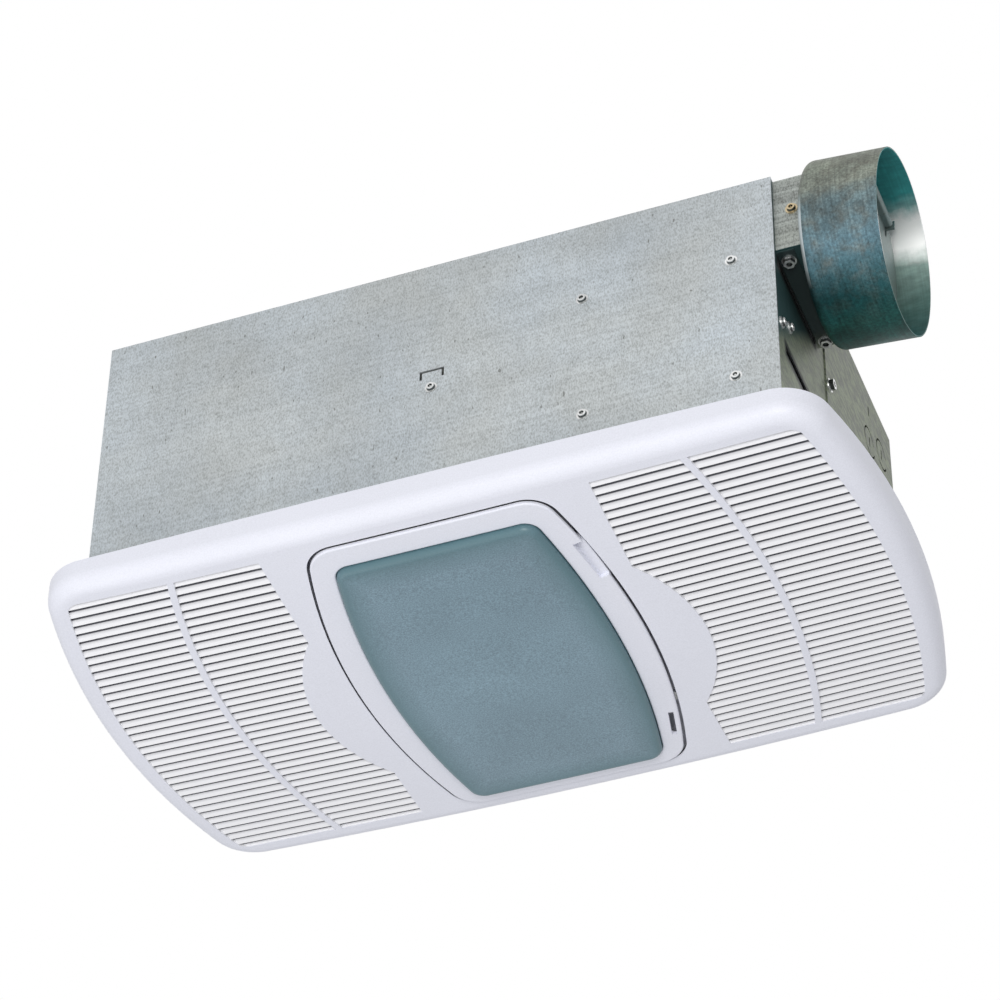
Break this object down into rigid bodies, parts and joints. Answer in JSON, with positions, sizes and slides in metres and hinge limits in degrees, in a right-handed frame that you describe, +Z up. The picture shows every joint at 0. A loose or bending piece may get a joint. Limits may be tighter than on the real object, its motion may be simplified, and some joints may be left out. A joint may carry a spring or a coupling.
{
  "type": "bathroom exhaust fan",
  "caption": "Ceiling exhaust fan with a light and a heater: galvanised housing, round duct collar with back-draft flap, and a white louvred grille with a hinged frosted lens.",
  "frame": {"origin": "middle of the housing's footprint, in the ceiling plane where the grille's rim meets the ceiling", "axes": "+X toward the duct, -Y the long plain wall, +Z up into the ceiling space"},
  "size_m": [0.469, 0.248, 0.2155],
  "materials": {
    "galvanised_sheet": "mottled hot-dip zinc",
    "collar_sheet": "bright zinc, rolled",
    "flap_sheet": "mill finish",
    "white_moulding": "fine texture",
    "frosted_lens": "frosted",
    "bright_steel": "plated",
    "zinc_screws": "zinc plated",
    "brass_screw": "yellow passivated",
    "lamination_steel": "stacked laminations",
    "bearing_alloy": "die cast",
    "taped_coil": "taped winding",
    "wheel_plastic": "moulded",
    "fan_aluminium": "stamped",
    "element_sheath": "heat-tinted sheath",
    "dark_plastic": "moulded",
    "porcelain": "glazed",
    "white_enamel": "gloss white",
    "bulb_glass": "soft white"
  },
  "bodies": {
    "root": {"blower_screws": "zinc_screws", "blower_scroll": "galvanised_sheet", "bracket_screw": "zinc_screws", "bulbs": "bulb_glass", "collar_screw": "brass_screw", "damper_pin": "bright_steel", "damper_seat": "galvanised_sheet", "door_hinge_pins": "bright_steel", "duct_collar": "collar_sheet", "end_wall_left": "galvanised_sheet", "end_wall_right": "galvanised_sheet", "exhaust_motor_bearings": "bearing_alloy", "exhaust_motor_coil": "taped_coil", "exhaust_motor_core": "lamination_steel", "grille": "white_moulding", "grille_screws": "zinc_screws", "heater_bridge": "galvanised_sheet", "heater_cutout": "dark_plastic", "heater_duct": "galvanised_sheet", "heater_motor_bearings": "bearing_alloy", "heater_motor_coil": "taped_coil", "heater_motor_core": "lamination_steel", "heating_element": "element_sheath", "housing_wrap": "galvanised_sheet", "lamp_sockets": "porcelain", "motor_spider": "galvanised_sheet", "neck_screws": "zinc_screws", "outlet_neck": "galvanised_sheet", "partition_left": "galvanised_sheet", "partition_right": "galvanised_sheet", "receptacles": "dark_plastic", "reflector": "white_enamel", "reflector_strap": "galvanised_sheet", "wiring_box": "galvanised_sheet", "wiring_plate": "galvanised_sheet", "wiring_plate_screw": "zinc_screws"},
    "exhaust_rotor": {"exhaust_wheel": "wheel_plastic", "exhaust_motor_rotor": "lamination_steel", "exhaust_motor_shaft": "bright_steel"},
    "heater_rotor": {"heater_fan": "fan_aluminium", "heater_motor_rotor": "lamination_steel", "heater_motor_shaft": "bright_steel"},
    "damper": {"damper_flap": "flap_sheet"},
    "door": {"lens_door": "white_moulding", "lens": "frosted_lens", "lens_clips": "bright_steel"}
  },
  "joints": [
    {"name": "exhaust_spin", "type": "hinge", "parent": "root", "child": "exhaust_rotor", "pos_m": [0.1235, -0.06, 0.0695], "axis": [0, 1, 0], "continuous": true},
    {"name": "heater_spin", "type": "hinge", "parent": "root", "child": "heater_rotor", "pos_m": [-0.124, 0, 0.077], "axis": [0, 0, 1], "continuous": true},
    {"name": "damper_swing", "type": "hinge", "parent": "root", "child": "damper", "pos_m": [0.23203, -0.066, 0.16922], "axis": [0, -1, 0], "range_deg": [0, 55]},
    {"name": "door_swing", "type": "hinge", "parent": "root", "child": "door", "pos_m": [-0.0855, 0, -0.0166], "axis": [0, 1, 0], "range_deg": [0, 85]}
  ]
}
